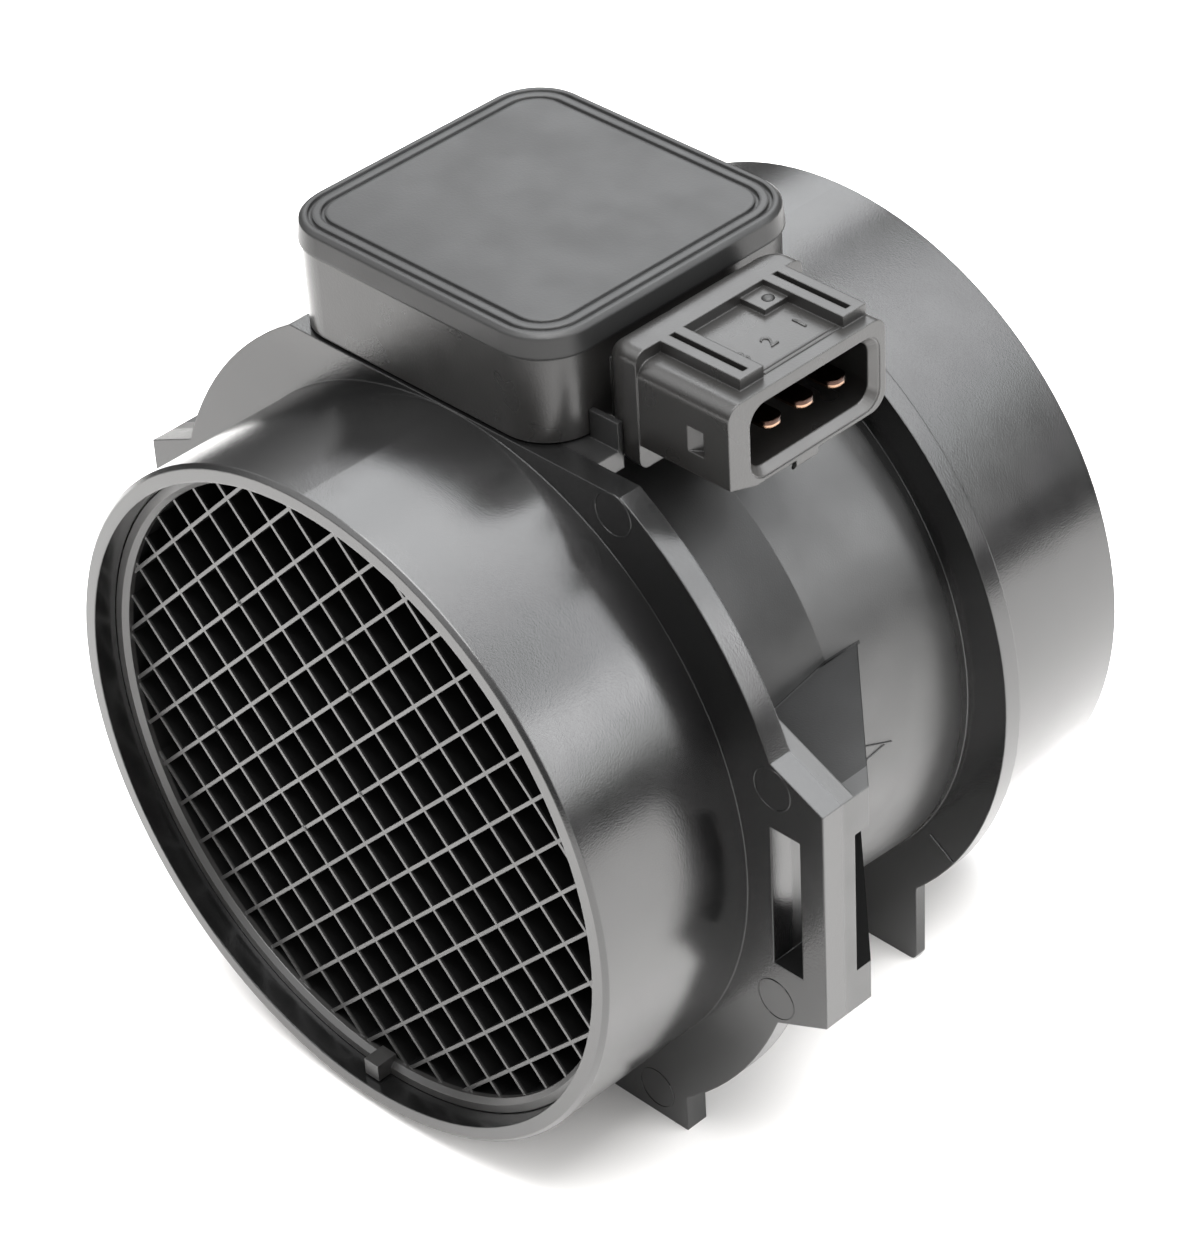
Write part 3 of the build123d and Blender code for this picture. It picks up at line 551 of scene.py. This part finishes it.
def drop_on_duct(y, z):
    """Where a line along -X from beside the duct first meets it, and the normal there."""
    to_local = duct.matrix_world.inverted()
    start = to_local @ Vector((beside_duct, y, z))
    found, point, normal, _ = duct.ray_cast(start, to_local.to_3x3() @ Vector((-1, 0, 0)))
    if not found:
        raise ValueError("no duct under this point")
    return duct.matrix_world @ point, (duct.matrix_world.to_3x3() @ normal).normalized()


arrow_width, arrow_height = 0.24 * mm, 0.16 * mm
arrow_steps = 8
arrow_sides = [((43.6, 3.5), (49.8, 1.15)), ((43.6, 0.3), (48.7, 1.35))]
for i, ((y0, z0), (y1, z1)) in enumerate(arrow_sides):
    shares = [step / arrow_steps for step in range(arrow_steps + 1)]
    side = [drop_on_duct((y0 + (y1 - y0) * t) * mm, (z0 + (z1 - z0) * t) * mm) for t in shares]
    ridge(f"flow_arrow_{i + 1}", side, arrow_width, arrow_height, duct_plastic)
print("arrow sides:", len(arrow_sides))

# %% [markdown]
# A short straight line crosses the rear lip on the right, from the body out to its edge. It looks
# like the joint of two mould halves. The left side is out of sight, so the same line there is a guess.

# %% Lip joints
lip_front = 62.4 * mm
joint_from, joint_to = 41.3 * mm, 45.6 * mm
joint_angle = radians(34)
joint_width, joint_height = 0.28 * mm, 0.14 * mm
for side in (1, -1):
    joint = []
    for radius in (joint_from, joint_to):
        x, z = radius * cos(joint_angle) * side, -radius * sin(joint_angle)
        joint.append((Vector((x, lip_front, z)), towards_inlet))
    name = f"lip_joint_{side + 2}"
    ridge(name, joint, joint_width, joint_height, duct_plastic)
print("joint length:", round((joint_to - joint_from) / mm, 1), "mm")

# %% [markdown]
# Marks on the connector
#
# Two fine lines cross the deck before the mouth. They are ridges again, on a face that looks up.

# %% Deck lines
deck_height = 54.6 * mm
line_ends = (37.0 * mm, 48.8 * mm)
line_width, line_height = 0.3 * mm, 0.12 * mm
upwards = Vector((0, 0, 1))
for i, x in enumerate((32.9 * mm, 33.5 * mm)):
    line = [(Vector((x, y, deck_height)), upwards) for y in line_ends]
    name = f"deck_line_{i + 1}"
    ridge(name, line, line_width, line_height, housing_plastic)
print("deck line length:", round((line_ends[1] - line_ends[0]) / mm, 1), "mm")

# %% [markdown]
# The plain numbers of the contacts stand on the deck and are read from the mouth. The 1 and the 2 are
# in sight, and the 3 behind the rail follows from them. Blender's text object gives good numerals
# with real thickness, and new_from_object turns it into a mesh.

# %% Contact numbers
number_size = 2.8 * mm
number_rise = 0.12 * mm
number_x = 29.7 * mm


def pin_number(text, y):
    """A raised numeral on the deck that is read from the connector's mouth."""
    letters = bpy.data.curves.new("pin " + text, "FONT")
    letters.body = text
    letters.size = number_size
    letters.extrude = number_rise
    letters.align_x = letters.align_y = "CENTER"
    shape = bpy.data.objects.new("pin " + text, letters)
    mesh = bpy.data.meshes.new_from_object(shape)
    bpy.data.objects.remove(shape)
    quarter_turn = Matrix.Rotation(pi / 2, 4, "Z")
    mesh.transform(Matrix.Translation((number_x, y, deck_height)) @ quarter_turn)
    return add_piece("pin_number_" + text, mesh, housing_plastic)


for text, y in (("1", 46.7 * mm), ("2", 41.9 * mm), ("3", 37.9 * mm)):
    numeral = pin_number(text, y)
    print(numeral.name, "has", len(numeral.data.polygons), "faces")

# %% [markdown]
# A small round dot tops the square button, and a tiny dark hole sits beside the pad under the mouth.
# Both are flattened balls, half sunk, because their round edge fades into the face. The second one is
# no real hollow: it is a disc of painted shade, black where a hole would be dark, that stands a few
# hundredths of a millimetre proud.


# %% Dot and dimple
def dome(name, place, radius, height, normal_axis, material):
    """A flattened ball, half of it above the surface, that bulges along one axis."""
    mesh = bpy.data.meshes.new(name)
    work = bmesh.new()
    bmesh.ops.create_uvsphere(work, u_segments=24, v_segments=12, radius=radius)
    squash = [1.0, 1.0, 1.0]
    squash["XYZ".index(normal_axis)] = height / radius
    bmesh.ops.scale(work, vec=squash, verts=work.verts)
    bmesh.ops.translate(work, vec=place, verts=work.verts)
    for face in work.faces:
        face.smooth = True
    work.to_mesh(mesh)
    work.free()
    return add_piece(name, mesh, material)


button_top = 55.3 * mm
shroud_front = 35.4 * mm
dot_place = (24.4 * mm, 47.4 * mm, button_top)
dimple_place = (shroud_front, 39.2 * mm, 42.6 * mm)
dome("button_dot", dot_place, 0.75 * mm, 0.2 * mm, "Z", lid_plastic)
dome("pad_dimple", dimple_place, 0.4 * mm, 0.03 * mm, "X", painted_hole_shade)

# %% [markdown]
# The connector's mouth opens with a narrow slope all round, as mouths do to lead a plug in. Its
# section is a triangle that hugs the mouth's wall. Three loops of the same rounded outline are joined
# by faces, which keeps the corners round where a bevel modifier would pinch them.

# %% The mouth's outline
mouth_low, mouth_high = (32.6 * mm, 43.55 * mm), (53.0 * mm, 53.0 * mm)
mouth_corner = 2.4 * mm
corner_steps = 8


def mouth_loop(inset):
    """The mouth's rounded outline in (y, z), drawn in by inset."""
    radius = mouth_corner - inset * 0.5
    loop = []
    corners = ((1, 1, 0), (0, 1, 90), (0, 0, 180), (1, 0, 270))
    for right_side, upper, first_angle in corners:
        y = (mouth_high[0] - inset - radius) if right_side else (mouth_low[0] + inset + radius)
        z = (mouth_high[1] - inset - radius) if upper else (mouth_low[1] + inset + radius)
        for step in range(corner_steps + 1):
            angle = radians(first_angle + 90 * step / corner_steps)
            loop.append((y + radius * cos(angle), z + radius * sin(angle)))
    return loop


print("mouth:", round((mouth_high[0] - mouth_low[0]) / mm, 1), "mm wide")

# %% The mouth's slope
slope_width, slope_depth = 0.85 * mm, 1.15 * mm
slope_back = shroud_front - slope_depth
just_inside = 0.02 * mm
outer, inner = mouth_loop(0), mouth_loop(slope_width)
around = len(outer)
vertices = [(shroud_front - just_inside, y, z) for y, z in outer]
vertices += [(slope_back, y, z) for y, z in inner]
vertices += [(slope_back, y, z) for y, z in outer]
faces = []
for i in range(around):
    j = (i + 1) % around
    for loop in range(3):
        here, there = loop * around, (loop + 1) % 3 * around
        faces.append((here + i, here + j, there + j, there + i))
slope = bpy.data.meshes.new("mouth_slope")
slope.from_pydata(vertices, [], faces)
add_piece("mouth_slope", slope, mouth_plastic)
print("slope faces:", len(faces))

# %% [markdown]
# Pips on the grid
#
# Small dots show on some of the inlet grid's crossings. What they are isn't known, and seven of them
# are made as low pips. Each is counted in bars from the middle, along one set of bars and then the
# other, so a pip always sits on a crossing.

# %% Grid pips
bars_front = 4.2 * mm
bar_spacing = 5.1 * mm
pip_radius, pip_height = 0.4 * mm, 0.2 * mm
pip_crossings = [(0, 5), (3, 3), (2, 2), (-4, 3), (0, 0), (3, 0), (-3, 0)]
for i, (along, up_steps) in enumerate(pip_crossings):
    x = (along - up_steps) * bar_spacing * cos(radians(45))
    z = (along + up_steps) * bar_spacing * cos(radians(45))
    name = f"grid_pip_{i + 1}"
    dome(name, (x, bars_front, z), pip_radius, pip_height, "Y", grid_plastic)

# %% [markdown]
# The white table
#
# The sensor stands on a white table. The table is small: its far edge ends below the horizon, and
# here the strip between it and the panels makes the dark band that the photo has along the tubes.

# %% The table
floor_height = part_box("duct_body")[0][2]
table_side = 1.6
bpy.ops.mesh.primitive_plane_add(size=table_side, location=(0.4, -0.35, floor_height))
table = bpy.context.object
table.name = "table"
table_white = bpy.data.materials.new("table white")
table_white.use_nodes = True
table_surface = table_white.node_tree.nodes["Principled BSDF"]
table_surface.inputs["Base Color"].default_value = grey(0.86, 0.015)
table_surface.inputs["Roughness"].default_value = 0.5
table.data.materials.append(table_white)
print("table at", round(floor_height / mm, 2), "mm")

# %% [markdown]
# The room
#
# The world stands for the studio's walls, of which nothing is known: it is tuned. It is dim
# low down, brighter higher up, and has a soft glow at the front left for the lid's front edge. The
# camera sees plain white behind the table: Light Path tells its rays apart, so the white adds no
# light.

# %% The room's brightness
world = bpy.data.worlds.new("studio")
bpy.context.scene.world = world
world.use_nodes = True
room = world.node_tree
background = room.nodes["Background"]
background.inputs["Color"].default_value = grey(1.0)
direction = room.nodes.new("ShaderNodeTexCoord").outputs["Generated"]
room_height = add_node(room, "ShaderNodeSeparateXYZ", Vector=direction).outputs["Z"]
walls = remap(room, room_height, 0.2, 1.2, start=0.1, stop=0.6)

front_left = room.nodes.new("ShaderNodeVectorMath")
front_left.operation = "DOT_PRODUCT"
room.links.new(direction, front_left.inputs[0])
front_left.inputs[1].default_value = (-0.7, -0.71, 0)
glow = multiply(
    room,
    remap(room, front_left.outputs["Value"], 0, 1.6, start=0.2, stop=0.7),
    remap(room, room_height, 0, 1, start=0.3, stop=0.6),
)
room_light = room.nodes.new("ShaderNodeMath")
room_light.operation = "ADD"
room.links.new(walls, room_light.inputs[0])
room.links.new(glow, room_light.inputs[1])
print("room nodes:", len(room.nodes))

# %% White behind the table
camera_ray = room.nodes.new("ShaderNodeLightPath").outputs["Is Camera Ray"]
seen = room.nodes.new("ShaderNodeMix")
room.links.new(camera_ray, seen.inputs["Factor"])
room.links.new(room_light.outputs["Value"], seen.inputs["A"])
seen.inputs["B"].default_value = 1.0
room.links.new(seen.outputs["Result"], background.inputs["Strength"])
print("white to the camera:", seen.inputs["B"].default_value)

# %% [markdown]
# The panels
#
# Large soft panels make the long highlights. Their edges are what the gloss shows, so each panel's
# place and size was moved about until its edge fell on the tubes about where the photo has it.
# Brightness is given per area: a larger panel is then as bright as a small one.


# %% A soft panel
def soft_lamp(name, place, aim, width, height, brightness, warmth=0.0):
    """A rectangular lamp that faces the point aim, equally bright whatever its size."""
    data = bpy.data.lights.new(name, "AREA")
    data.shape = "RECTANGLE"
    data.size = width
    data.size_y = height
    data.energy = brightness * pi * width * height
    data.color = grey(1.0, warmth)[:3]
    lamp = bpy.data.objects.new(name, data)
    bpy.context.collection.objects.link(lamp)
    lamp_direction = Vector(aim) - Vector(place)
    lamp.rotation_euler = lamp_direction.to_track_quat("-Z", "Y").to_euler()
    lamp.location = place
    return lamp


# %% [markdown]
# The wide back panel lights the tubes' upper sides, and the left panel with a weaker lamp below it,
# in place of a reflector, the rest of their rounds. The right panel fills the body, and the lamp
# overhead keeps the table white, which in turn lights all the faces that look down or outwards.

# %% Place the panels
facing_front = Vector((0.296, -0.955, 0))
for name, place, width, height, brightness in (
    ("back panel", (1.54, 1.26, 1.185), 3.97, 0.69, 4.5),
    ("left panel", (-0.535, 0.617, 1.09), 0.375, 0.88, 3.9),
    ("left reflector", (-0.535, 0.617, 0.485), 0.375, 0.31, 3.0),
):
    aim = Vector(place) + facing_front
    soft_lamp(name, place, aim, width, height, brightness, warmth=-0.02)
soft_lamp("right panel", (1.1, 0.3, 0.53), (0, 0.3, 0.53), 1.2, 0.66, 3.8)
soft_lamp("overhead", (0.15, -0.02, 1.35), (0.15, -0.02, 0), 1.3, 1.3, 11.5)
print("lamps:", len(bpy.data.lights))

# %% [markdown]
# The camera
#
# The camera looks down on the inlet from the front right, and is close, so the near rim looks larger
# than the far one. Its angles were worked out from the photo's circles and edges, and its turn is
# built from three axes, which leaves no doubt about their order.

# %% The camera
photo_height_px = 1259
focal_length_px = 4286.2
azimuth, elevation, roll = radians(46.689), radians(36.582), radians(3.325)
camera_place = Vector((294.45, -234.77, 301.83)) * mm
back = Vector((sin(azimuth) * cos(elevation), -cos(azimuth) * cos(elevation), sin(elevation)))
level_right = Vector((cos(azimuth), sin(azimuth), 0))
level_up = back.cross(level_right)
right = cos(roll) * level_right - sin(roll) * level_up
up = sin(roll) * level_right + cos(roll) * level_up

camera_data = bpy.data.cameras.new("photo camera")
camera_data.sensor_width = 36
camera_data.lens = focal_length_px * camera_data.sensor_width / photo_height_px
camera_data.clip_start = 10 * mm
camera = bpy.data.objects.new("photo camera", camera_data)
bpy.context.collection.objects.link(camera)
camera_turn = Matrix((right, up, back)).transposed()
camera.matrix_world = Matrix.Translation(camera_place) @ camera_turn.to_4x4()
bpy.context.scene.camera = camera
bpy.context.scene.view_settings.view_transform = "Standard"
print("lens:", round(camera_data.lens, 1), "mm")
